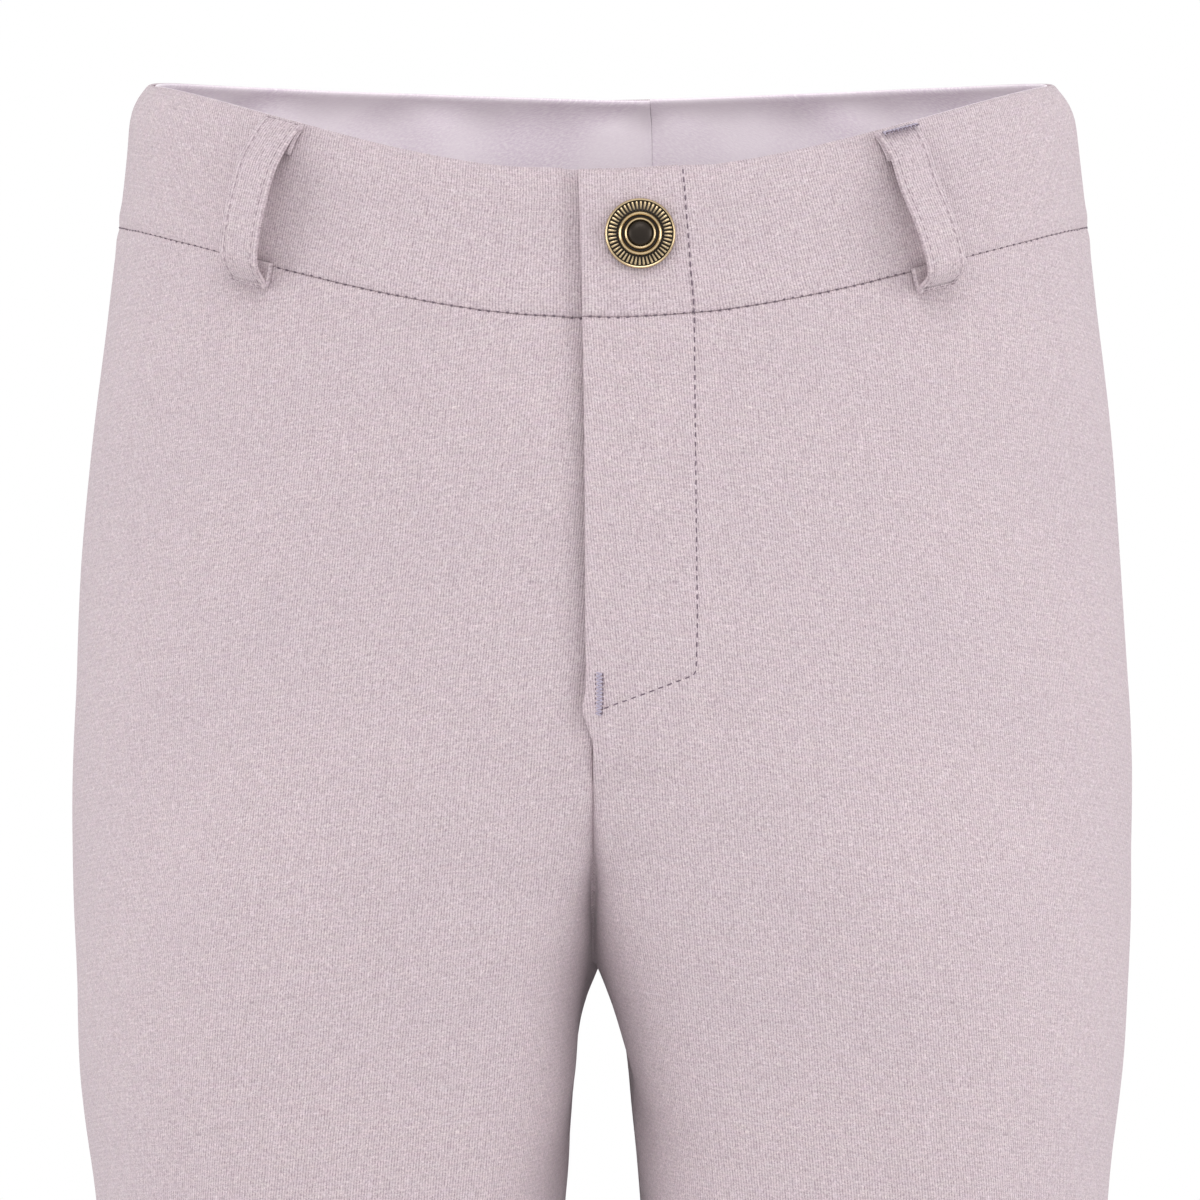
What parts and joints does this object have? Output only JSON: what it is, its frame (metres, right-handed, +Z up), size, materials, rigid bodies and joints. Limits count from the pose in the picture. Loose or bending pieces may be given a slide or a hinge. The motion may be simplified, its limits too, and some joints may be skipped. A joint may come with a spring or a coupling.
{
  "type": "jodhpurs",
  "caption": "Child's close-fitting riding jodhpurs in stretch knit, hollow as worn, with a lapped button waistband, belt loops and a flat fly.",
  "frame": {"origin": "centre of the waist opening, level with the top edge of the waistband at the side seams, where the wearer's waist holds the garment", "axes": "+Z up, -Y towards the front (the fly and the button), +X towards the wearer's left"},
  "size_m": [0.2546, 0.1791, 0.8421],
  "materials": {
    "knit": "pale mauve heather ponte knit, matt",
    "facing_satin": "pale lilac satin-faced lining, soft sheen",
    "antique_brass": "antiqued brass, dark in the hollows and bright on the ribs"
  },
  "bodies": {
    "root": {"front_left": "knit", "front_right": "knit", "back_left": "knit", "back_right": "knit", "waistband_left": "knit", "waistband_right": "knit", "facing_left": "facing_satin", "facing_right": "facing_satin", "loop_front_left": "knit", "loop_front_right": "knit", "loop_back_left": "knit", "loop_back_right": "knit", "loop_centre_back": "knit", "button": "antique_brass", "button_back": "antique_brass"}
  },
  "joints": []
}
